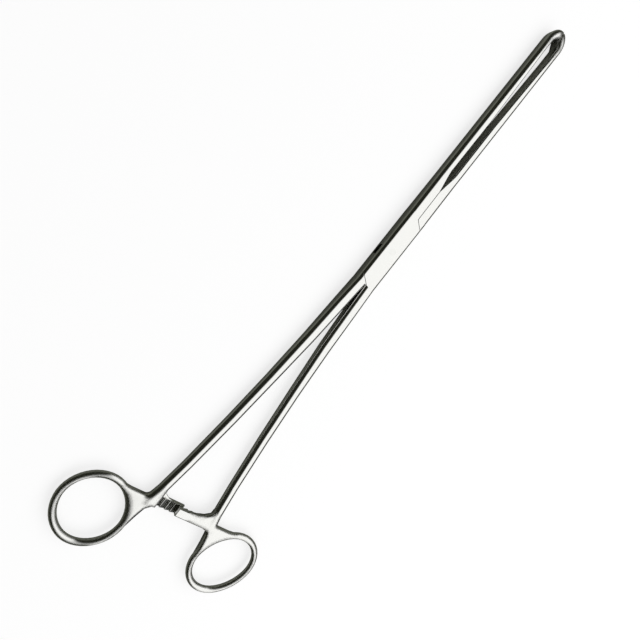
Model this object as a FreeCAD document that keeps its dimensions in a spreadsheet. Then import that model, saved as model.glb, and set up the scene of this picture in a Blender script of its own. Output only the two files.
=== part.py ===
import FreeCAD, Part
import Sketcher
import math
import os
import re

# Locking tissue forceps with a box lock, finger rings, a ratchet and toothed jaws.
# X points from the pivot to the jaw tips, Y to the side of the half with the tongue,
# Z up. The origin is on the pivot axis, on the flat underside of the box lock.
# Every form is built about the middle plane of the thickness and lifted at the end.

doc = FreeCAD.newDocument("forceps")
sizes = doc.addObject("Spreadsheet::Sheet", "sizes")

# Driving dimensions, in millimetres and degrees
DIMENSIONS = [
    ("box_width", 8.7, "width of the box lock"),
    ("box_thickness", 5.5, "thickness of the box lock"),
    ("seam_reach", 15.5, "pivot to the end of the cheeks, on the middle line"),
    ("seam_slant", 2.9, "how far the end of the cheeks slants back to their side edge"),
    ("tongue_thickness", 1.9, "thickness of the tongue between the cheeks"),
    ("tongue_setback", 0.6, "the tongue's inner corner stops this far short of the seam"),
    ("hub_radius", 2.5, "round of the tongue about the pin"),
    ("pin_diameter", 2.4, "pivot pin"),
    ("pin_clearance", 0.03, "radial play of the tongue on the pin"),
    ("slot_clearance", 0.06, "play of the tongue in the slot"),
    ("slot_end_play", 0.24, "play at the ends of the slot"),
    ("tongue_root", 1.5, "how far the plate of the tongue runs on into its shank"),
    ("tongue_inset", 0.2, "how far the end of that plate stays inside the side of the shank"),
    ("tongue_edge", 4.35, "pivot to where the plate reaches the side of the box lock"),
    ("seam_gap", 0.06, "gap at the ends of the cheeks"),
    ("half_gap", 0.06, "gap between the two halves along the middle line"),
    ("edge_round", 1.4, "round of the outer edges of the box lock"),
    ("closed_reach", 28.9, "pivot to where the gap between the blades starts"),
    ("gap_opening", 5.7, "length over which the gap opens to its shoulder"),
    ("gap_rear", 1.05, "half of the gap at its shoulder"),
    ("gap_taper", 34.0, "length over which the gap widens towards the tips"),
    ("gap_wide_length", 6.6, "length of the widest stretch"),
    ("gap_front", 1.9, "half of the gap at its widest"),
    ("jaw_reach", 108.6, "pivot to the tip"),
    ("pad_length", 3.4, "length of the toothed faces at the tip"),
    ("hook_length", 2.6, "length over which a blade turns in to its toothed face"),
    ("hook_round", 0.91, "round of the corner where that turn starts"),
    ("jaw_width", 8.7, "width over both blades"),
    ("blade_round", 1.5, "round of the outer edges of the blades"),
    ("gap_round", 0.6, "round of the edges along the gap between the blades"),
    ("jaw_breadth", 4.9, "height of the blades"),
    ("blade_setback", 1.0, "the blades start this far ahead of the seam"),
    ("taper_end", 0.6, "the blades have lost their extra height this far behind the gap's shoulder"),
    ("tip_round", 6.4, "length of the rounded end of the blades"),
    ("tooth_depth", 0.55, "depth of the jaw teeth"),
    ("tooth_gap", 0.08, "play between the jaw teeth"),
    ("tooth_setback", 0.1, "the jaw teeth stop this far behind the round of the tip"),
    ("ring_reach", 130.1, "pivot to the centre of a finger ring"),
    ("ring_offset", 26.9, "middle line to the centre of a finger ring"),
    ("ring_turn", 36.0, "turn of the long axis of a ring"),
    ("hole_length", 22.4, "long way across a finger hole"),
    ("hole_width", 19.6, "short way across a finger hole"),
    ("rod_diameter", 2.4, "diameter of the ring rod"),
    ("ring_end_radius", 10.6, "radius of the rod's middle line at the two tight ends of a ring"),
    ("web_thickness", 2.9, "thickness of the web between shank and ring"),
    ("web_round", 0.9, "round of the long edges of the web"),
    ("notch_ahead", 11.6, "centre of a ring forward to the corner between shank and ring"),
    ("notch_side", 14.6, "middle line to that corner"),
    ("notch_round", 1.6, "round of that corner"),
    ("heel_ahead", 7.5, "centre of a ring forward to the bend at the back of the web"),
    ("heel_side", 12.9, "middle line to that bend"),
    ("web_sink", 0.375, "how far the sides of the web start inside the shank"),
    ("ring_sink", 0.72, "how far the web runs into the rod of the ring"),
    ("front_meet", 2.94, "centre of a ring in to where the front of the web meets the rod"),
    ("back_meet", 1.44, "centre of a ring back to where the back of the web meets the rod"),
    ("ratchet_ahead", 10.8, "centre of a ring forward to the middle of the ratchet"),
    ("rack_lap", 0.2, "how far the web reaches into the back of the rack"),
    ("ratchet_width", 3.5, "width of the rack, the lower ratchet bar"),
    ("bar_width", 3.1, "width of the upper ratchet bar"),
    ("ratchet_drop", 0.6, "middle plane down to the plane of the ratchet teeth"),
    ("bar_rise", 1.5, "middle plane up to the top of the upper bar"),
    ("root_flare", 4.4, "how much a ratchet bar widens where it meets its shank"),
    ("root_sink", 0.4, "how far that widening starts inside the shank"),
    ("root_lap", 0.3, "how far it starts inside the bar"),
    ("rack_root_length", 5.5, "length over which the rack widens"),
    ("bar_root_length", 9.0, "length over which the upper bar widens"),
    ("ratchet_pitch", 2.08, "distance from tooth to tooth"),
    ("ratchet_depth", 0.7, "depth of the ratchet teeth"),
    ("ratchet_nose", 2.0, "length of the bevelled nose of the rack"),
    ("nose_drop", 1.25, "height that the nose loses over that length"),
    ("bar_round", 0.5, "round of the outer edges of the ratchet bars"),
    ("rack_crest", 2.0, "middle line to the first crest of the rack"),
    ("bar_end", 2.2, "middle line to the end of the upper bar"),
    ("crest_lean", 0.2, "sideways run of a tooth's steep face"),
    ("nose_play", 0.08, "height between the two noses"),
]

RATCHET_TEETH = 4       # on each bar
LOWER_TEETH = 6         # ridges on the toothed face of the half with the tongue
UPPER_TEETH = LOWER_TEETH - 1
ROOT_STEPS = 4          # straight pieces of the curve where a ratchet bar widens
SPARE = "1"             # mm that a cutting form stands out beyond what it cuts
HAIR = "0.001"          # mm of overlap along the seam
TOUCH = 0.001           # mm within which two places count as one
NEAR = 0.01
LEVEL = 0.5             # mm of rise below which an edge counts as level
RIGHT_ANGLE = math.pi / 2

ALIASES = []


def store(cell, alias, value):
    """Writes a plain number and its name into a cell of the sheet."""
    sizes.set(cell, str(value))
    sizes.setAlias(cell, alias)
    ALIASES.append(alias)


for row, (alias, value, meaning) in enumerate(DIMENSIONS, start=1):
    sizes.set("A%d" % row, meaning)
    store("B%d" % row, alias, value)

# Shank sections from the box lock back to the ring: place, centre from the middle line,
# width, height and how round the corners are, from 0 for square to 1 for half a circle.
# The first four are placed behind the pivot, the others ahead of the centre of the ring.
SHANK = [
    (26.0, 2.88, 4.45, 4.90, 0.62),
    (42.7, 3.89, 4.52, 4.30, 0.70),
    (62.8, 5.63, 4.13, 3.90, 0.80),
    (83.0, 7.67, 3.97, 3.60, 0.82),
    (26.9, 10.08, 3.75, 3.40, 0.82),
    (16.1, 11.70, 3.75, 3.30, 0.82),
    (9.1, 13.30, 3.85, 3.20, 0.78),
]
first_row = len(DIMENSIONS) + 1
SECTION_WORDS = ("place", "side", "width", "height", "round")
FROM_THE_RING = "fgh"
for number, section in enumerate(SHANK):
    for column, (word, value) in enumerate(zip(SECTION_WORDS, section)):
        cell = "%s%d" % ("BCDEF"[column], first_row + number)
        store(cell, "shank_%s_%s" % (word, "bcdefgh"[number]), value)
doc.recompute()

# The first section is half of the box lock
FIRST_SECTION = {
    "place": "seam_reach",
    "side": "((box_width + half_gap) / 4)",
    "width": "((box_width - half_gap) / 2)",
    "height": "box_thickness",
    "round": "shank_round_b",
}

RATCHET_REACH = "(ring_reach - ratchet_ahead)"
NOTCH_REACH = "(ring_reach - notch_ahead)"
HEEL_REACH = "(ring_reach - heel_ahead)"

ACROSS = FreeCAD.Rotation(FreeCAD.Vector(1, 1, 1), 120)
ALONG = FreeCAD.Rotation(FreeCAD.Vector(1, 0, 0), 90)
FLAT = FreeCAD.Rotation()


def linked(text):
    """The same expression with each named size pointing at the sheet."""
    return re.sub(r"[a-z_]+", lambda m: "sizes." + m.group() if m.group() in ALIASES else m.group(), text)


def value_of(text):
    """The number that an expression of named sizes gives now."""
    return float(sizes.evalExpression(linked(text)))


def bind(thing, prop, text):
    """Ties a property of an object to an expression of named sizes."""
    thing.setExpression(prop, linked(text))


def lock(sketch, kind, line, end, text):
    """Holds one coordinate of a point of a sketch at an expression."""
    index = sketch.addConstraint(Sketcher.Constraint(kind, -1, 1, line, end, value_of(text)))
    bind(sketch, "Constraints[%d]" % index, text)


def polygon(name, points, turn=FLAT):
    """A closed sketch whose corners follow pairs of expressions."""
    sketch = doc.addObject("Sketcher::SketchObject", name)
    sketch.Placement = FreeCAD.Placement(FreeCAD.Vector(), turn)
    corners = [FreeCAD.Vector(value_of(x), value_of(y), 0) for x, y in points]
    count = len(corners)
    for number in range(count):
        sketch.addGeometry(Part.LineSegment(corners[number], corners[(number + 1) % count]), False)
    for number in range(count):
        sketch.addConstraint(Sketcher.Constraint("Coincident", number, 2, (number + 1) % count, 1))
    for number, (x, y) in enumerate(points):
        lock(sketch, "DistanceX", number, 1, x)
        lock(sketch, "DistanceY", number, 1, y)
    return sketch


def prism(name, base, length):
    """A closed sketch or ellipse made thick, half to each side of its plane."""
    solid = doc.addObject("Part::Extrusion", name)
    solid.Base = base
    solid.DirMode = "Normal"
    solid.Solid = True
    solid.Symmetric = True
    bind(solid, "LengthFwd", length)
    return solid


def joined(name, pieces):
    """One solid of several that touch."""
    fusion = doc.addObject("Part::MultiFuse", name)
    fusion.Shapes = pieces
    fusion.Refine = True
    return fusion


def without(name, base, tool):
    """A solid less another."""
    cut = doc.addObject("Part::Cut", name)
    cut.Base = base
    cut.Tool = tool
    cut.Refine = True
    return cut


def mirrored(name, source):
    """The same form on the other side of the middle line."""
    mirror = doc.addObject("Part::Mirroring", name)
    mirror.Source = source
    mirror.Normal = FreeCAD.Vector(0, 1, 0)
    return mirror


def turned(name, source):
    """The same form turned half way round the pivot axis."""
    turn = doc.addObject("Part::Compound", name)
    turn.Links = [source]
    turn.Placement = FreeCAD.Placement(FreeCAD.Vector(), FreeCAD.Rotation(FreeCAD.Vector(0, 0, 1), 180))
    return turn


def rounded(name, base, wanted, radius):
    """A solid with rounds on the edges whose middle point and shape pass a test."""
    doc.recompute()
    picked = []
    for number, edge in enumerate(base.Shape.Edges, start=1):
        middle = edge.valueAt((edge.FirstParameter + edge.LastParameter) / 2)
        start, end = edge.Vertexes[0].Point, edge.Vertexes[-1].Point
        if wanted(middle, start, end):
            picked.append((number, value_of(radius), value_of(radius)))
    fillet = doc.addObject("Part::Fillet", name)
    fillet.Base = base
    fillet.Edges = picked
    return fillet


def upright(start, end):
    """True for an edge that runs along Z."""
    return abs(start.x - end.x) < 1e-4 and abs(start.y - end.y) < 1e-4 and abs(start.z - end.z) > 1e-4


def shank_section(letter):
    """One rounded cross-section of a shank, on the side of positive Y."""
    word = {key: "shank_%s_%s" % (key, letter) for key in SECTION_WORDS}
    if letter in FROM_THE_RING:
        word["place"] = "(ring_reach - %s)" % word["place"]
    if letter == "a":
        word = FIRST_SECTION
    sketch = doc.addObject("Sketcher::SketchObject", "section_" + letter)
    sketch.Placement = FreeCAD.Placement(FreeCAD.Vector(), ACROSS)
    bind(sketch, ".Placement.Base.x", "-" + word["place"])
    corner = "%s * %s / 2" % (word["width"], word["round"])
    left, right = ("%s %s %s / 2" % (word["side"], sign, word["width"]) for sign in "-+")
    low, high = ("%s%s / 2" % (sign, word["height"]) for sign in ("-", ""))
    ends = [
        ("%s + %s" % (left, corner), low, "%s - %s" % (right, corner), low),
        (right, "%s + %s" % (low, corner), right, "%s - %s" % (high, corner)),
        ("%s - %s" % (right, corner), high, "%s + %s" % (left, corner), high),
        (left, "%s - %s" % (high, corner), left, "%s + %s" % (low, corner)),
    ]
    for line in ends:
        x0, y0, x1, y1 = (value_of(text) for text in line)
        sketch.addGeometry(Part.LineSegment(FreeCAD.Vector(x0, y0, 0), FreeCAD.Vector(x1, y1, 0)), False)
    radius = value_of(corner)
    for number in range(4):
        at = sketch.Geometry[number].EndPoint
        to = sketch.Geometry[(number + 1) % 4].StartPoint
        middle = FreeCAD.Vector(at.x, to.y, 0) if number % 2 == 0 else FreeCAD.Vector(to.x, at.y, 0)
        circle = Part.Circle(middle, FreeCAD.Vector(0, 0, 1), radius)
        begin = (number - 1) * RIGHT_ANGLE
        sketch.addGeometry(Part.ArcOfCircle(circle, begin, begin + RIGHT_ANGLE), False)
    for number in range(4):
        sketch.addConstraint(Sketcher.Constraint("Tangent", number, 2, 4 + number, 1))
        sketch.addConstraint(Sketcher.Constraint("Coincident", 4 + number, 2, (number + 1) % 4, 1))
    for number, (x0, y0, x1, y1) in enumerate(ends):
        lock(sketch, "DistanceX", number, 1, x0)
        lock(sketch, "DistanceY", number, 1, y0)
        lock(sketch, "DistanceX", number, 2, x1)
        lock(sketch, "DistanceY", number, 2, y1)
    return sketch


RING_LONG = "((hole_length + rod_diameter) / 2)"
RING_SHORT = "((hole_width + rod_diameter) / 2)"


def arm():
    """Shank, web and finger ring of one half, on the side of positive Y."""
    shank = doc.addObject("Part::Loft", "shank")
    shank.Sections = [shank_section(letter) for letter in "abcdefgh"]
    shank.Solid = True
    shank.Ruled = True

    ring = finger_ring()
    inside = doc.addObject("Part::Ellipse", "ring_inside")
    bind(inside, "MajorRadius", RING_LONG)
    bind(inside, "MinorRadius", RING_SHORT)
    hole = prism("web_hole", inside, "box_thickness * 2")
    at_ring(hole)
    front = "-ring_reach + shank_place_g"
    near_side = "shank_side_g - shank_width_g / 2 + web_sink"
    far_side = "shank_side_g + shank_width_g / 2 - web_sink"
    ring_side = "ring_offset - hole_width / 2 - rod_diameter"
    back_of_rack = "-%s - ratchet_width / 2" % RATCHET_REACH
    outline = polygon("web_outline", [
        (front, near_side),
        (front, far_side),
        ("-" + NOTCH_REACH, "notch_side"),
        ("-" + NOTCH_REACH, "(notch_side + ring_offset) / 2"),
        ("-ring_reach + hole_length / 2 + ring_sink", "ring_offset - front_meet"),
        ("-ring_reach", "ring_offset"),
        ("-ring_reach - back_meet", ring_side),
        ("-(%s + ring_reach) / 2" % HEEL_REACH, "(heel_side + %s) / 2" % ring_side),
        ("-" + HEEL_REACH, "heel_side"),
        (back_of_rack, "(heel_side + shank_side_g - shank_width_g / 2) / 2"),
        (back_of_rack + " + rack_lap", near_side),
    ])
    block = rounded("web_notched", prism("web_block", outline, "web_thickness"), at_notch, "notch_round")
    web = without("web", rounded("web_rounded", block, on_web_edge, "web_round"), hole)
    return joined("arm", [shank, ring, web])


def at_notch(middle, start, end):
    """True for the upright edge of the web in the corner between shank and ring."""
    return upright(start, end) and abs(middle.y - value_of("notch_side")) < NEAR


def on_web_edge(middle, start, end):
    """True for the long edges of the web between shank and ring."""
    level = abs(start.z - end.z) < TOUCH
    ahead = middle.x > value_of("-%s - web_round" % NOTCH_REACH)
    return level and ahead and middle.y > value_of("shank_side_g + shank_width_g / 2 - web_sink")


def finger_ring():
    """An oval of round rod: four pieces of torus whose ends meet without a kink."""
    long_side = "(%s - ring_end_radius)" % RING_LONG
    flat_radius = "((%s ^ 2 + %s ^ 2 - ring_end_radius ^ 2) / (2 * (%s - ring_end_radius)))" % (
        long_side, RING_SHORT, RING_SHORT)
    short_side = "(%s - %s)" % (flat_radius, RING_SHORT)
    meeting = "atan(%s / %s)" % (short_side, long_side)
    pieces = []
    for number, (radius, x, y, start, sweep) in enumerate([
        ("ring_end_radius", long_side, "0", "-" + meeting, "2 * " + meeting),
        (flat_radius, "0", "-" + short_side, meeting, "180deg - 2 * " + meeting),
        ("ring_end_radius", "-" + long_side, "0", "180deg - " + meeting, "2 * " + meeting),
        (flat_radius, "0", short_side, "180deg + " + meeting, "180deg - 2 * " + meeting),
    ]):
        piece = doc.addObject("Part::Torus", "ring_piece_%d" % (number + 1))
        piece.Placement = FreeCAD.Placement(FreeCAD.Vector(), FreeCAD.Rotation(FreeCAD.Vector(0, 0, 1), 1))
        bind(piece, "Radius1", radius)
        bind(piece, "Radius2", "rod_diameter / 2")
        bind(piece, "Angle3", sweep)
        bind(piece, ".Placement.Base.x", x)
        bind(piece, ".Placement.Base.y", y)
        bind(piece, ".Placement.Rotation.Angle", start)
        pieces.append(piece)
    ring = joined("ring", pieces)
    at_ring(ring)
    return ring


def at_ring(thing):
    """Puts a form that is built about the origin where the finger ring is."""
    thing.Placement = FreeCAD.Placement(FreeCAD.Vector(), FreeCAD.Rotation(FreeCAD.Vector(0, 0, 1), 1))
    bind(thing, ".Placement.Base.x", "-ring_reach")
    bind(thing, ".Placement.Base.y", "ring_offset")
    bind(thing, ".Placement.Rotation.Angle", "ring_turn")


def blade_stock():
    """The blade of one half, on the side of positive Y, from the cheeks' end to the tip."""
    tip = "tooth_gap / 2 - tooth_depth / 2"
    return polygon("blade_outline", [
        ("seam_reach + blade_setback", "half_gap / 2"),
        ("closed_reach", "half_gap / 2"),
        ("closed_reach + gap_opening", "gap_rear"),
        ("jaw_reach - pad_length - hook_length - gap_wide_length - gap_taper", "gap_rear"),
        ("jaw_reach - pad_length - hook_length - gap_wide_length", "gap_front"),
        ("jaw_reach - pad_length - hook_length", "gap_front"),
        ("jaw_reach - pad_length", "tooth_depth / 2 + tooth_gap / 2"),
        ("jaw_reach", "tooth_depth / 2 + tooth_gap / 2"),
        ("jaw_reach", "jaw_width / 2"),
        ("closed_reach + gap_opening", "jaw_width / 2"),
        ("seam_reach + blade_setback", "box_width / 2"),
    ])


def blade():
    """One finished blade without its teeth, on the side of positive Y."""
    stock = prism("blade_block", blade_stock(), "box_thickness")
    thick = prism("blade_side_cut", polygon("side_cut", [
        ("seam_reach + blade_setback", "box_thickness / 2"),
        ("closed_reach + gap_opening - taper_end", "jaw_breadth / 2"),
        ("jaw_reach + " + SPARE, "jaw_breadth / 2"),
        ("jaw_reach + " + SPARE, "box_thickness"),
        ("seam_reach + blade_setback", "box_thickness"),
    ], ALONG), "box_width * 3")
    below = doc.addObject("Part::Mirroring", "blade_side_cut_below")
    below.Source = thick
    below.Normal = FreeCAD.Vector(0, 0, 1)
    slim = without("blade_slim", stock, joined("side_cuts", [thick, below]))

    nose = doc.addObject("Part::Ellipse", "tip_ellipse")
    bind(nose, "MajorRadius", "tip_round")
    bind(nose, "MinorRadius", "jaw_width / 2")
    bind(nose, ".Placement.Base.x", "jaw_reach - tip_round")
    nose_block = prism("tip_ellipse_block", nose, "box_thickness")
    behind = doc.addObject("Part::Box", "behind_tip")
    bind(behind, "Length", "jaw_reach - tip_round")
    bind(behind, "Width", "jaw_width")
    bind(behind, "Height", "box_thickness")
    bind(behind, ".Placement.Base.y", "-jaw_width / 2")
    bind(behind, ".Placement.Base.z", "-box_thickness / 2")
    kept = joined("tip_shape", [nose_block, behind])
    pointed = doc.addObject("Part::Common", "blade_pointed")
    pointed.Base = slim
    pointed.Tool = kept
    inner = rounded("blade_hooked", pointed, at_gap_corner, "hook_round")
    outer = rounded("blade_outer_rounds", inner, on_outer_edge, "blade_round")
    return rounded("blade", outer, on_gap_edge, "gap_round")


def at_gap_corner(middle, start, end):
    """True for the upright edge where a blade starts to turn in to its tip."""
    reach = value_of("jaw_reach - pad_length - hook_length")
    inside = middle.y < value_of("jaw_width / 2 - gap_round")
    return upright(start, end) and abs(middle.x - reach) < NEAR and inside


def on_outer_edge(middle, start, end):
    """True for a long outer edge on the top or underside of a blade."""
    level = abs(start.z - end.z) < LEVEL and abs(middle.z) > value_of("jaw_breadth / 2") - NEAR
    far_out = middle.y > value_of("gap_front + gap_round / 2") or middle.x > value_of("jaw_reach") - NEAR
    ahead = middle.x > value_of("seam_reach + blade_setback") + NEAR
    return level and far_out and ahead and abs(start.x - end.x) > value_of("gap_round / 2")


def on_gap_edge(middle, start, end):
    """True for a long edge of a blade along the gap, on its top or underside."""
    level = abs(start.z - end.z) < LEVEL and abs(middle.z) > value_of("jaw_breadth / 2") - NEAR
    inside = middle.y < value_of("gap_front") + NEAR
    along = value_of("closed_reach + gap_opening") < middle.x < value_of("jaw_reach - pad_length")
    return level and inside and along


def jaw_tooth(name, apex, base, where):
    """A ridge on a toothed face: a three-cornered bar that points across the middle line."""
    ridge = doc.addObject("Part::Extrusion", name)
    half = "jaw_breadth / %d" % (2 * LOWER_TEETH)
    ridge.Base = polygon(name + "_outline", [
        (base, "%s - %s" % (where, half)),
        (apex, where),
        (base, "%s + %s" % (where, half)),
    ], ACROSS)
    bind(ridge.Base, ".Placement.Base.x", "jaw_reach - pad_length")
    ridge.DirMode = "Normal"
    ridge.Solid = True
    bind(ridge, "LengthFwd", "pad_length - blade_round - tooth_setback")
    return ridge


def cheeks():
    """The block of the box lock on the half that carries the slot."""
    outline = polygon("box_outline", [
        ("-seam_reach", "-box_width / 2"),
        ("seam_reach - seam_slant - seam_gap", "-box_width / 2"),
        ("seam_reach - seam_gap", "half_gap / 2"),
        ("seam_reach + blade_setback", "half_gap / 2"),
        ("seam_reach + blade_setback", "box_width / 2"),
        ("seam_gap - seam_reach + seam_slant", "box_width / 2"),
        ("seam_gap - seam_reach", "-half_gap / 2"),
        ("-seam_reach", "-half_gap / 2"),
    ])
    block = prism("box_block", outline, "box_thickness")
    slot = prism("slot_block", polygon("slot_outline", [
        ("0", "hub_radius + slot_clearance"),
        ("seam_reach - tongue_setback + slot_end_play", "hub_radius + slot_clearance"),
        ("seam_reach - tongue_setback + slot_end_play", "half_gap / 2"),
        ("seam_reach + blade_setback + " + SPARE, "half_gap / 2"),
        ("seam_reach + blade_setback + " + SPARE, "-box_width"),
        ("0", "-box_width"),
        ("0", "-hub_radius - slot_clearance"),
        ("tongue_setback - seam_reach - slot_end_play", "-hub_radius - slot_clearance"),
        ("tongue_setback - seam_reach - slot_end_play", "-half_gap / 2"),
        ("-seam_reach - " + SPARE, "-half_gap / 2"),
        ("-seam_reach - " + SPARE, "box_width"),
        ("0", "box_width"),
    ]), "tongue_thickness + slot_clearance * 2")
    return rounded("box", block, on_box_edge, "edge_round"), slot


def on_box_edge(middle, start, end):
    """True for the long outer edges of the box lock."""
    along_side = abs(abs(middle.y) - value_of("box_width / 2")) < TOUCH
    return along_side and abs(start.z - end.z) < TOUCH


def pivot(name, radius, height):
    """A round bar on the pivot axis, centred on the middle plane."""
    bar = doc.addObject("Part::Cylinder", name)
    bind(bar, "Radius", radius)
    bind(bar, "Height", height)
    bind(bar, ".Placement.Base.z", "-(%s) / 2" % height)
    return bar


def tongue_side():
    """The rear half of the tongue, from the hub back into the shank."""
    return prism("tongue_rear", polygon("tongue_outline", [
        ("0", "0"),
        ("0", "-hub_radius"),
        ("tongue_setback - seam_reach", "-hub_radius"),
        ("tongue_setback - seam_reach", "half_gap / 2"),
        ("-seam_reach - tongue_root", "half_gap / 2"),
        ("-seam_reach - tongue_root", "box_width / 2 - tongue_inset"),
        ("-seam_reach", "box_width / 2"),
        ("-tongue_edge", "box_width / 2"),
    ]), "tongue_thickness")


def shoulder(name, far):
    """The full height of the half with the tongue, up to the slanting end of the cheeks."""
    block = prism(name + "_block", polygon(name + "_outline", [
        ("-(%s)" % far, "half_gap / 2"),
        ("-seam_reach + " + HAIR, "half_gap / 2"),
        ("seam_slant - seam_reach", "box_width / 2"),
        ("-(%s)" % far, "box_width / 2"),
    ]), "box_thickness")
    return rounded(name, block, on_box_edge, "edge_round")


def ratchet_bar(name, crest, end, plane, face, width, root_length):
    """A bar of the ratchet with its teeth up, reaching in from the side of positive Y."""
    inner_edge = "shank_side_g - shank_width_g / 2"
    outer_edge = "shank_side_g + shank_width_g / 2"
    high = "%s + ratchet_depth / 2" % plane
    low = "%s - ratchet_depth / 2" % plane
    points = [
        (end, face),
        (end, "%s - (%s - (%s)) * nose_drop / ratchet_nose" % (high, crest, end)),
        (crest, high),
    ]
    for number in range(RATCHET_TEETH):
        top = "%s + %d * ratchet_pitch" % (crest, number)
        points.append((top + " + crest_lean", low))
        points.append((top + " + ratchet_pitch", high))
    points.append((outer_edge, high))
    points.append((outer_edge, "-web_thickness / 2"))
    points.append((inner_edge, face))
    block = prism(name + "_block", polygon(name + "_outline", points, ACROSS), width)

    def on_bar_edge(middle, start, end):
        """True for the two long outer edges of the bar, away from its teeth."""
        side = abs(abs(middle.x) - value_of(width) / 2) < TOUCH
        long = abs(start.y - end.y) > value_of("bar_round")
        return side and long and abs(middle.z - value_of(face)) < TOUCH

    slim = rounded(name + "_rounded", block, on_bar_edge, "bar_round")
    return joined(name, [slim, root(name, low, width, root_length)])


def root(name, top, width, length):
    """The curved widening where a bar of the ratchet meets the front of its shank."""
    edge = "%s / 2" % width
    meet = "shank_side_g - shank_width_g / 2"
    curve = [(edge + " - root_lap", meet + " + root_sink")]
    for step in range(ROOT_STEPS + 1):
        turn = step * 90 / ROOT_STEPS
        curve.append(("%s + root_flare * (1 - sin(%.1f deg))" % (edge, turn),
                      "%s + root_sink - %s * (1 - cos(%.1f deg))" % (meet, length, turn)))
    block = prism(name + "_root", polygon(name + "_root_outline", curve), "%s + web_thickness / 2" % top)
    bind(block, ".Placement.Base.z", "(%s - web_thickness / 2) / 2" % top)
    return block


def placed_ratchet(bar, flip):
    """A ratchet bar set on its shank, turned teeth down for the upper one."""
    half_turn = FreeCAD.Rotation(FreeCAD.Vector(1, 0, 0), 180 if flip else 0)
    bar.Placement = FreeCAD.Placement(FreeCAD.Vector(), half_turn)
    bind(bar, ".Placement.Base.x", "-" + RATCHET_REACH)
    return bar


def jaw_teeth(name, count, apex, base):
    """The row of ridges across the height of one toothed face."""
    rows = []
    for number in range(count):
        where = "(%s) * jaw_breadth / %d" % (2 * number - count + 1, 2 * LOWER_TEETH)
        rows.append(jaw_tooth("%s_%d" % (name, number + 1), apex, base, where))
    return rows


def lifted(name, base, tool):
    """The finished half: bored through, and lifted so that the box lock stands on Z = 0."""
    half = without(name, base, tool)
    bind(half, ".Placement.Base.z", "box_thickness / 2")
    return half


left_arm = arm()
right_arm = mirrored("right_arm", left_arm)
left_blade = blade()
right_blade = mirrored("right_blade", left_blade)
box, slot = cheeks()
apex = "tooth_depth / 2 - tooth_gap / 2"
base = "tooth_depth / 2 + tooth_gap / 2"

# The upper bar's first crest lies where its nose just clears the nose of the rack
bar_crest = "((ratchet_depth + nose_play) * ratchet_nose / nose_drop - rack_crest)"
rack = placed_ratchet(ratchet_bar(
    "rack", "rack_crest", "(rack_crest - ratchet_nose)", "-ratchet_drop",
    "-box_thickness / 2", "ratchet_width", "rack_root_length"), False)
bar = placed_ratchet(ratchet_bar(
    "upper_bar", bar_crest, "(-bar_end)", "ratchet_drop",
    "-bar_rise", "bar_width", "bar_root_length"), True)

slotted_box = without("slotted_box", joined("box_and_blade", [box, left_blade]), slot)
female_form = joined("female_form", [
    right_arm, slotted_box, bar] + jaw_teeth("upper_tooth", UPPER_TEETH, "-(%s)" % apex, base))
pin_hole = pivot("pin_hole", "pin_diameter / 2", "(box_thickness + 2 * %s)" % SPARE)
female_half = lifted("female_half", female_form, pin_hole)

rear = tongue_side()
hub = pivot("hub", "hub_radius", "tongue_thickness")
tongue = joined("tongue", [rear, turned("tongue_front", rear), hub])
front_shoulder = turned("front_shoulder", shoulder("shoulder_ahead", "seam_reach + blade_setback"))
male_form = joined("male_form", [
    left_arm, shoulder("shoulder_behind", "seam_reach"), tongue, front_shoulder, right_blade, rack,
] + jaw_teeth("lower_tooth", LOWER_TEETH, apex, "-(%s)" % base))
running_bore = pivot("running_bore", "pin_diameter / 2 + pin_clearance", "(box_thickness + 2 * %s)" % SPARE)
male_half = lifted("male_half", male_form, running_bore)

pivot_pin = doc.addObject("Part::Cylinder", "pivot_pin")
bind(pivot_pin, "Radius", "pin_diameter / 2")
bind(pivot_pin, "Height", "box_thickness")
pivot_pin.Placement = FreeCAD.Placement()

doc.recompute()
faults = []
for thing in doc.Objects:
    if "Invalid" in thing.State or "Error" in thing.State:
        faults.append("%s: %s" % (thing.Name, thing.getStatusString()))
os.makedirs("parts", exist_ok=True)
for node in (female_half, male_half, pivot_pin):
    node.Label = node.Name
    shape = node.Shape
    if shape.isNull() or not shape.isValid() or len(shape.Solids) != 1:
        faults.append("%s: %d solids" % (node.Name, len(shape.Solids)))
    else:
        shape.exportStep("parts/%s.step" % node.Name)
    print(node.Name, "volume %.1f mm3" % shape.Volume, len(shape.Faces), "faces")
if faults:
    raise RuntimeError("; ".join(faults))
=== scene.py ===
# %% [markdown]
# This is a lesson in building a picture of a pair of locking tissue forceps: two long halves of
# polished steel that cross in a box lock, with finger rings and a ratchet at one end and toothed
# jaws at the other. They lie closed on a white table.
# The solids come ready-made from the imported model. Here they get their steel, the table and the
# room that the steel mirrors. Polished steel has hardly any colour of its own, so nearly all
# that one sees on it is a picture of the room: the room is the larger part of this lesson.

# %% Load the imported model
import math

import bmesh
import bpy
from mathutils import Matrix, Vector

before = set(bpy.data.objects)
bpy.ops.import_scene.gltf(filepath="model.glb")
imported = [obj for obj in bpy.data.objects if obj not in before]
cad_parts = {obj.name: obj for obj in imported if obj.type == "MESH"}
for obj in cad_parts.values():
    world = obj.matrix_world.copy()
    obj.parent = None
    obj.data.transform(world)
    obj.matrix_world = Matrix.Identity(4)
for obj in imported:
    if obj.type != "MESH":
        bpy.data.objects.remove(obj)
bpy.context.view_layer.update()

# %% [markdown]
# The photograph was taken from close by with a wide lens, from above the left-hand side of the
# instrument: the finger rings look large and the jaws run away from the viewer. The place, the
# direction and the focal length were found by laying the outline of the solids over the
# photograph: the rings, the ratchet, the box lock and the tip have to meet all at once.
# A long lens from further away would be easier to place, but it can't give this taper.

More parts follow.
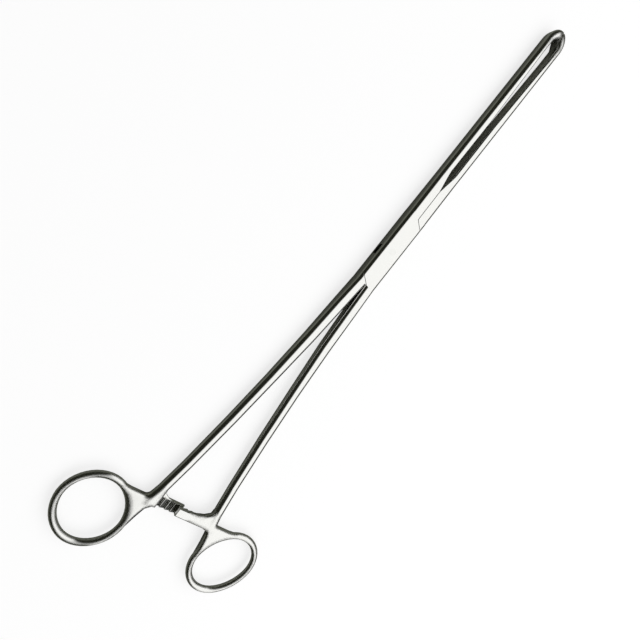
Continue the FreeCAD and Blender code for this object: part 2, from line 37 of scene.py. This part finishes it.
# %% Camera
PHOTO_SIDE = 640                 # pixels along each side of the photograph
FOCAL_IN_PIXELS = 429.6
SENSOR_WIDTH = 36.0              # mm, as in a small-picture camera
NEAREST_SEEN = 0.01              # m
camera_place = Vector((-0.0454, 0.0737, 0.1408))
picture_right = Vector((0.6204, -0.6832, 0.3852))
picture_up = Vector((0.7818, 0.5776, -0.2347))


def camera_turn(right, up):
    """The rotation of a camera whose picture has these two directions."""
    right = right.normalized()
    back = right.cross(up).normalized()
    return Matrix((right, back.cross(right), back)).transposed()


camera_data = bpy.data.cameras.new("camera")
camera_data.sensor_width = SENSOR_WIDTH
camera_data.lens = FOCAL_IN_PIXELS / PHOTO_SIDE * SENSOR_WIDTH
camera_data.clip_start = NEAREST_SEEN
camera = bpy.data.objects.new("camera", camera_data)
camera.matrix_world = Matrix.Translation(camera_place) @ camera_turn(picture_right, picture_up).to_4x4()
bpy.context.scene.collection.objects.link(camera)
bpy.context.scene.camera = camera
print("lens", round(camera_data.lens, 2), "mm, height", round(camera_place.z * 1000), "mm")

# %% [markdown]
# Forceps are forged from stainless steel, ground, then mirror-polished on felt wheels. At arm's
# length that gives a mirror that is a little soft. From close by three things show: faint lines
# left by the wheel along the length of each half, single hair-fine scratches from the trays the
# instrument is washed in, and broad patches where hands and washing left the polish duller.
# Each of them is a noise at its real size in millimetres, mixed into the roughness and the
# height of the surface. A picture of scratches would do it too, but it would blur from close by
# and would have to be unwrapped onto every face.

# %% Helpers for the node trees
MM = 0.001                       # one millimetre in scene units


def add_node(tree, kind, place, **settings):
    """Adds a node at a place of the tree and sets its plain settings."""
    node = tree.nodes.new(kind)
    node.location = place
    for setting, value in settings.items():
        setattr(node, setting, value)
    return node


def link(tree, source, output, target, wanted):
    """Joins an output of one node to an input of another."""
    tree.links.new(source.outputs[output], target.inputs[wanted])


def remapped(tree, source, output, place, low, high, to_low, to_high):
    """Maps a range of one value onto another range, clamped at both ends."""
    node = add_node(tree, "ShaderNodeMapRange", place)
    node.inputs["From Min"].default_value = low
    node.inputs["From Max"].default_value = high
    node.inputs["To Min"].default_value = to_low
    node.inputs["To Max"].default_value = to_high
    link(tree, source, output, node, "Value")
    return node


def stretched_noise(tree, source, place, cell, stretch, detail):
    """Noise whose cells are this many millimetres, drawn out along x by a factor."""
    scaling = add_node(tree, "ShaderNodeVectorMath", place, operation="MULTIPLY")
    across = 1 / (cell * MM)
    scaling.inputs[1].default_value = (across / stretch, across, across)
    link(tree, source, "Object", scaling, 0)
    noise = add_node(tree, "ShaderNodeTexNoise", (place[0] + 200, place[1]))
    noise.inputs["Scale"].default_value = 1.0
    noise.inputs["Detail"].default_value = detail
    link(tree, scaling, "Vector", noise, "Vector")
    return noise


print("lengths in the materials are given in millimetres, and one is", MM, "m")

# %% [markdown]
# Edges are never quite sharp on a real instrument. Where web, shank and ring run into each other
# and at the tips, the felt wheel has rolled them over by a millimetre and more, while the teeth of
# the ratchet stay crisp and the pin is ground so flush that its edge can hardly be seen. The
# solids keep their true edges. The rounding is made in the shading, by a bevel whose radius
# changes from place to place. Rounding the mesh would show at the outline too, but it would
# change the size of the piece.

# %% Where the edges are worn round, and how far
EDGE_ROUND = 0.3                 # mm, the common edge
HAND_ROUND = 2.2                 # mm, where web, shank and ring run into each other
HAND_ZONE = 112.0                # mm behind the pivot, where the hand end begins
TEETH_MIDDLE = 4.0               # mm from the middle line to the middle of the visible teeth
TEETH_ZONE = 5.5                 # mm to either side of that, kept crisp for the teeth
TIP_ROUND = 3.4                  # mm, the jaws are rolled over towards their tips
TIP_ZONE = 90.0                  # mm ahead of the pivot, where that begins
TIP_REACH = 108.0                # mm ahead of the pivot, where it is full
PIN_EDGE = 0.02                  # mm, the rounding of the pin and of its hole
PIN_ZONE = 1.8                   # mm around the pivot
PIN_BORDER = 1.0                 # mm over which the rounding grows outside that
BORDER = 2.0                     # mm over which one rounding changes into the other


def hand_rounding(tree, parts, x, y):
    """The rounding of the hand end, from the two coordinates along and across."""
    behind = remapped(tree, parts, "X", (x + 200, y), -(HAND_ZONE + BORDER) * MM, -HAND_ZONE * MM, 1.0, 0.0)
    sideways = add_node(tree, "ShaderNodeMath", (x + 50, y - 250), operation="SUBTRACT")
    sideways.inputs[1].default_value = TEETH_MIDDLE * MM
    link(tree, parts, "Y", sideways, 0)
    aside = add_node(tree, "ShaderNodeMath", (x + 200, y - 250), operation="ABSOLUTE")
    link(tree, sideways, "Value", aside, 0)
    outside = remapped(tree, aside, "Value", (x + 400, y - 250),
                       TEETH_ZONE * MM, (TEETH_ZONE + BORDER) * MM, 0.0, 1.0)
    hand = add_node(tree, "ShaderNodeMath", (x + 600, y), operation="MULTIPLY")
    link(tree, behind, "Result", hand, 0)
    link(tree, outside, "Result", hand, 1)
    return remapped(tree, hand, "Value", (x + 800, y), 0.0, 1.0, EDGE_ROUND * MM, HAND_ROUND * MM)


def pin_limit(tree, where, x, y):
    """The most that an edge may be rounded near the pin."""
    flat = add_node(tree, "ShaderNodeVectorMath", (x + 200, y), operation="MULTIPLY")
    flat.inputs[1].default_value = (1, 1, 0)
    link(tree, where, "Object", flat, 0)
    distance = add_node(tree, "ShaderNodeVectorMath", (x + 400, y), operation="LENGTH")
    link(tree, flat, "Vector", distance, 0)
    away = remapped(tree, distance, "Value", (x + 600, y),
                    PIN_ZONE * MM, (PIN_ZONE + PIN_BORDER) * MM, 0.0, 1.0)
    return remapped(tree, away, "Result", (x + 800, y), 0.0, 1.0, PIN_EDGE * MM, TIP_ROUND * MM)


def edge_wear(tree, where, place):
    """The rounding of the edges in metres, from the place on the instrument."""
    x, y = place
    parts = add_node(tree, "ShaderNodeSeparateXYZ", (x, y))
    link(tree, where, "Object", parts, "Vector")
    hand_wear = hand_rounding(tree, parts, x, y)
    tip_wear = remapped(tree, parts, "X", (x + 800, y + 250), TIP_ZONE * MM, TIP_REACH * MM,
                        EDGE_ROUND * MM, TIP_ROUND * MM)
    wear = add_node(tree, "ShaderNodeMath", (x + 900, y + 250), operation="MAXIMUM")
    link(tree, hand_wear, "Result", wear, 0)
    link(tree, tip_wear, "Result", wear, 1)
    near_pin = pin_limit(tree, where, x, y - 500)
    least = add_node(tree, "ShaderNodeMath", (x + 1000, y), operation="MINIMUM")
    link(tree, wear, "Value", least, 0)
    link(tree, near_pin, "Result", least, 1)
    return least


print("edges are rounded by", EDGE_ROUND, "mm, at the hand end by", HAND_ROUND, "mm")
print("and at the tips by", TIP_ROUND, "mm")

# %% Steel
PATCH_CELL, PATCH_STRETCH, PATCH_DETAIL = 6.0, 2.5, 3.0          # mm across, factor along, octaves
LINE_CELL, LINE_STRETCH, LINE_DETAIL = 0.16, 40.0, 2.0
SCRATCH_CELL, SCRATCH_STRETCH, SCRATCH_DETAIL = 0.9, 0.35, 4.0
PATCH_FROM, PATCH_TO = 0.3, 0.7          # noise values at which the polish is brightest and dullest
SCRATCH_FROM, SCRATCH_TO = 0.60, 0.64    # a narrow step of the noise leaves thin scratches
SCRATCH_HEIGHT = 0.0006                  # mm
BEVEL_SAMPLES = 8


def steel(name, colour, dull_low, dull_high, line_height):
    """Polished stainless steel with wheel lines, fine scratches and duller patches."""
    material = bpy.data.materials.new(name)
    material.use_nodes = True
    tree = material.node_tree
    shader = tree.nodes["Principled BSDF"]
    shader.inputs["Base Color"].default_value = colour
    shader.inputs["Metallic"].default_value = 1.0
    where = add_node(tree, "ShaderNodeTexCoord", (-1400, 0))

    patches = stretched_noise(tree, where, (-1200, 300), PATCH_CELL, PATCH_STRETCH, PATCH_DETAIL)
    dull = remapped(tree, patches, "Fac", (-600, 300), PATCH_FROM, PATCH_TO, dull_low, dull_high)
    link(tree, dull, "Result", shader, "Roughness")

    lines = stretched_noise(tree, where, (-1200, 0), LINE_CELL, LINE_STRETCH, LINE_DETAIL)
    scratches = stretched_noise(tree, where, (-1200, -300), SCRATCH_CELL, SCRATCH_STRETCH, SCRATCH_DETAIL)
    thin = remapped(tree, scratches, "Fac", (-800, -300), SCRATCH_FROM, SCRATCH_TO, 0.0, 1.0)

    wear = edge_wear(tree, where, (-1900, -700))
    rounded = add_node(tree, "ShaderNodeBevel", (-600, -600), samples=BEVEL_SAMPLES)
    link(tree, wear, "Value", rounded, "Radius")
    line_bump = add_node(tree, "ShaderNodeBump", (-400, 0))
    line_bump.inputs["Distance"].default_value = line_height * MM
    link(tree, lines, "Fac", line_bump, "Height")
    link(tree, rounded, "Normal", line_bump, "Normal")
    scratch_bump = add_node(tree, "ShaderNodeBump", (-200, -300), invert=True)
    scratch_bump.inputs["Distance"].default_value = SCRATCH_HEIGHT * MM
    link(tree, thin, "Result", scratch_bump, "Height")
    link(tree, line_bump, "Normal", scratch_bump, "Normal")
    link(tree, scratch_bump, "Normal", shader, "Normal")
    return material


print("wheel lines are", LINE_CELL, "mm wide and duller patches", PATCH_CELL, "mm")

# %% Give each piece its finish
half_steel = steel("polished_steel", (0.62, 0.62, 0.60, 1), 0.10, 0.17, 0.0004)
pin_steel = steel("pin_steel", (0.61, 0.61, 0.59, 1), 0.12, 0.19, 0.0005)
finishes = {"female_half": half_steel, "male_half": half_steel, "pivot_pin": pin_steel}
for node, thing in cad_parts.items():
    thing.data.materials.clear()
    thing.data.materials.append(finishes[node])
    print(node, "has", len(thing.data.polygons), "faces and the finish", finishes[node].name)

# %% [markdown]
# The table is a matt white sheet. Matt paint gives back only part of the light, so under a soft
# lamp it comes out grey. A glow of its own, seen by the eye and by mirrors, lifts it to white
# while the shadow of the instrument stays on it. A stronger lamp would whiten it too, but the
# steel would burn out with it.

# %% Matt paint that the eye sees as white
TABLE_COLOUR = (0.42, 0.42, 0.42)
TABLE_GLOW = 0.75


def seen_directly(tree, place):
    """One for rays of the eye, of mirrors and of glass, nothing for scattered light."""
    rays = add_node(tree, "ShaderNodeLightPath", place)
    first = add_node(tree, "ShaderNodeMath", (place[0] + 200, place[1]), operation="ADD")
    link(tree, rays, "Is Camera Ray", first, 0)
    link(tree, rays, "Is Glossy Ray", first, 1)
    both = add_node(tree, "ShaderNodeMath", (place[0] + 400, place[1]), operation="ADD", use_clamp=True)
    link(tree, first, "Value", both, 0)
    link(tree, rays, "Is Transmission Ray", both, 1)
    return both


def matt_paint(name, colour, glow):
    """Matt paint of one colour, and a glow seen directly."""
    material = bpy.data.materials.new(name)
    material.use_nodes = True
    tree = material.node_tree
    shader = tree.nodes["Principled BSDF"]
    shader.inputs["Base Color"].default_value = (*colour, 1)
    shader.inputs["Roughness"].default_value = 1.0
    shader.inputs["Specular IOR Level"].default_value = 0.0
    if glow:
        seen = seen_directly(tree, (-900, -200))
        strength = remapped(tree, seen, "Value", (-300, -200), 0.0, 1.0, 0.0, glow)
        shader.inputs["Emission Color"].default_value = (1, 1, 1, 1)
        link(tree, strength, "Result", shader, "Emission Strength")
    return material


table_white = matt_paint("table_white", TABLE_COLOUR, TABLE_GLOW)
print("the paint gives back", TABLE_COLOUR[0], "of the light and glows with", TABLE_GLOW)

# %% Table
TABLE_SIDE = 8.0                 # m


def flat_sheet(name, low, high, height):
    """A level rectangle between two corners at a height, kept off the list of pieces."""
    mesh = bpy.data.meshes.new(name)
    corners = [(low[0], low[1]), (high[0], low[1]), (high[0], high[1]), (low[0], high[1])]
    mesh.from_pydata([(x, y, height) for x, y in corners], [], [(0, 1, 2, 3)])
    sheet = bpy.data.objects.new(name, mesh)
    bpy.context.scene.collection.objects.link(sheet)
    return sheet


half_side = TABLE_SIDE / 2
table = flat_sheet("table", (-half_side, -half_side), (half_side, half_side), 0.0)
table.data.materials.append(table_white)
print("the table is", TABLE_SIDE, "m square and lies at the height of the underside")

# %% [markdown]
# The room. On the real instrument every face that leans away from the lower right is nearly
# black and every level face is white, with a sharp border between the two. So there was a large
# white light above the lower right-hand side, and a dark room behind the photographer.
# Black bands like these can't be painted on: they have to move over the rounded steel when the
# view changes. So the dark half of the room is built as part of a dome, and the lamp as one
# large soft sheet. Both stay out of sight of the camera itself.

# %% Dark half of the room
DOME_RADIUS = 1.3                # m
DOME_STEPS = 24                  # around, and half as many up to the top
DOME_START = math.radians(-10)   # azimuth, counted from the tips towards the left-hand ring
DOME_END = math.radians(206)
ROOM_COLOUR = (0.095, 0.1, 0.072)
SAME_PLACE = 0.0001              # m, corners closer than this are one


def hide_from_camera(thing):
    """Keeps a thing of the room out of the picture, but not out of the mirror of the steel."""
    thing.visible_camera = False


def dome_point(around, height):
    """The place on the dome at an azimuth and a height, both as angles."""
    return (DOME_RADIUS * math.cos(height) * math.cos(around),
            DOME_RADIUS * math.cos(height) * math.sin(around),
            DOME_RADIUS * math.sin(height))


def dark_dome():
    """A piece of a sphere that stands over the left-hand side of the instrument."""
    dome = bmesh.new()
    rows = []
    steps_up = DOME_STEPS // 2
    for row in range(steps_up + 1):
        height = math.radians(90) * row / steps_up
        ring = []
        for step in range(DOME_STEPS + 1):
            around = DOME_START + (DOME_END - DOME_START) * step / DOME_STEPS
            ring.append(dome.verts.new(dome_point(around, height)))
        rows.append(ring)
    for low, high in zip(rows, rows[1:]):
        for step in range(DOME_STEPS):
            dome.faces.new((low[step], low[step + 1], high[step + 1], high[step]))
    bmesh.ops.remove_doubles(dome, verts=dome.verts, dist=SAME_PLACE)
    mesh = bpy.data.meshes.new("dark_room")
    dome.to_mesh(mesh)
    dome.free()
    room = bpy.data.objects.new("dark_room", mesh)
    bpy.context.scene.collection.objects.link(room)
    hide_from_camera(room)
    room.visible_diffuse = False
    room.visible_shadow = False
    return room


room = dark_dome()
room.data.materials.append(matt_paint("room_black", ROOM_COLOUR, 0.0))
print("the dark half of the room has", len(room.data.polygons), "faces")

# %% [markdown]
# The lamp is a sheet of lit cloth. It must not end in a sharp line, or the border between the
# black and the white bands would be as hard as cut paper: it dies away over almost half a metre.
# Behind the rings it also dies away a little earlier, because there the steel is greyer.

# %% Lamp
LAMP_HEIGHT = 1.0                # m above the table
LAMP_LOW = (-1.2, -1.6)
LAMP_HIGH = (1.7, 0.05)
LAMP_FADE = 0.42                 # m over which the light dies away towards the dark half
LAMP_BRIGHTNESS = 1.5            # times the white of the picture
LAMP_SLANT_START = -0.2          # m, from here on towards the rings the edge of the light slants
LAMP_SLANT = 0.14                # m that the light has lost at its far end behind the rings


def lamp_cloth(brightness, fade_from, fade_to):
    """Lit cloth that fades out along y between two places, earlier behind the rings."""
    material = bpy.data.materials.new("lamp_cloth")
    material.use_nodes = True
    tree = material.node_tree
    tree.nodes.remove(tree.nodes["Principled BSDF"])
    where = add_node(tree, "ShaderNodeTexCoord", (-1000, 0))
    parts = add_node(tree, "ShaderNodeSeparateXYZ", (-800, 0))
    link(tree, where, "Object", parts, "Vector")
    lost = remapped(tree, parts, "X", (-800, 250), LAMP_LOW[0], LAMP_SLANT_START, LAMP_SLANT, 0.0)
    slanted = add_node(tree, "ShaderNodeMath", (-600, 250), operation="ADD")
    link(tree, parts, "Y", slanted, 0)
    link(tree, lost, "Result", slanted, 1)
    fade = remapped(tree, slanted, "Value", (-450, 0), fade_from, fade_to, brightness, 0.0)
    fade.interpolation_type = "SMOOTHSTEP"
    glow = add_node(tree, "ShaderNodeEmission", (-300, 0))
    link(tree, fade, "Result", glow, "Strength")
    link(tree, glow, "Emission", tree.nodes["Material Output"], "Surface")
    return material


lamp = flat_sheet("soft_lamp", LAMP_LOW, LAMP_HIGH, LAMP_HEIGHT)
hide_from_camera(lamp)
lamp.data.materials.append(lamp_cloth(LAMP_BRIGHTNESS, LAMP_HIGH[1] - LAMP_FADE, LAMP_HIGH[1]))
print("the lamp ends", round(LAMP_HIGH[1] * 1000), "mm beyond the middle of the instrument")

# %% [markdown]
# The upright walls of the steel mirror the ground right beside them. On the real instrument these
# walls are as dark as the room, because that ground lies in the shadow of the instrument. A white
# table alone would turn the walls pale and the instrument would lose its weight. So a dark sheet of
# painted shade lies under it that only the steel can see. It stands in for the shadowed ground in
# the mirror of the walls, and the eye sees the white table through it.

# %% Painted shade: a dark sheet that only the steel mirrors
SHADE_SHEET_HEIGHT = 0.00002           # m above the table
SHADE_SHEET_HALF = 1.0                 # m, half of its side
# painted shade: the grey that the walls of the steel mirror in place of the shadowed ground
PAINTED_SHADE_COLOUR = (0.30, 0.31, 0.26)


def only_in_the_mirror(thing):
    """Leaves a thing visible in polished faces alone: it hides and shades nothing."""
    hide_from_camera(thing)
    thing.visible_diffuse = False
    thing.visible_shadow = False
    thing.visible_transmission = False


# this sheet is painted shade, standing in for the instrument's shadow on the table as the steel mirrors it
shade_sheet = flat_sheet("painted_shade_sheet", (-SHADE_SHEET_HALF, -SHADE_SHEET_HALF), (SHADE_SHEET_HALF, SHADE_SHEET_HALF), SHADE_SHEET_HEIGHT)
only_in_the_mirror(shade_sheet)
shade_sheet.data.materials.append(matt_paint("painted_shade_grey", PAINTED_SHADE_COLOUR, 0.0))
print("the cloth is", 2 * SHADE_SHEET_HALF, "m square")

# %% [markdown]
# Two low dark walls finish the room. One stands behind the right-hand ring and draws the thin grey
# line along the far side of the steel. The other stands ahead of the tips, and the rolled-over
# ends of the jaws turn dark in it. Both are low, so that the level faces still mirror the lamp.

# %% Low walls
WALL_HEIGHT = 0.95               # m
SIDE_WALL = ((-2.2, -1.8), (2.2, -1.8))
END_WALL = ((1.9, -1.5), (1.9, 0.4))
WALL_COLOUR = (0.15, 0.15, 0.15)


def low_wall(name, foot):
    """An upright dark sheet over a line on the floor."""
    (x_from, y_from), (x_to, y_to) = foot
    mesh = bpy.data.meshes.new(name)
    corners = [(x_from, y_from, 0), (x_to, y_to, 0), (x_to, y_to, WALL_HEIGHT), (x_from, y_from, WALL_HEIGHT)]
    mesh.from_pydata(corners, [], [(0, 1, 2, 3)])
    wall = bpy.data.objects.new(name, mesh)
    bpy.context.scene.collection.objects.link(wall)
    only_in_the_mirror(wall)
    return wall


wall_grey = matt_paint("wall_grey", WALL_COLOUR, 0.0)
for name, foot in (("side_wall", SIDE_WALL), ("end_wall", END_WALL)):
    low_wall(name, foot).data.materials.append(wall_grey)
    print(name, "stands from", foot[0], "to", foot[1])

# %% [markdown]
# What is left of the room is even and white to the eye. It gives the table a quarter of that as
# scattered light, so that the shadow of the instrument doesn't turn black. A brighter room would
# wash the shadow out.

# %% The rest of the room
SCATTERED_LIGHT = 0.25           # times the white of the picture
ROOM_WHITE = 1.0

world = bpy.data.worlds.new("studio")
bpy.context.scene.world = world
world.use_nodes = True
background = world.node_tree.nodes["Background"]
background.inputs["Color"].default_value = (1, 1, 1, 1)
seen = seen_directly(world.node_tree, (-900, 0))
strength = remapped(world.node_tree, seen, "Value", (-300, 0), 0.0, 1.0, SCATTERED_LIGHT, ROOM_WHITE)
link(world.node_tree, strength, "Result", background, "Strength")

bpy.context.scene.view_settings.view_transform = "Standard"
print("the room scatters", SCATTERED_LIGHT, "of the white that the eye sees")
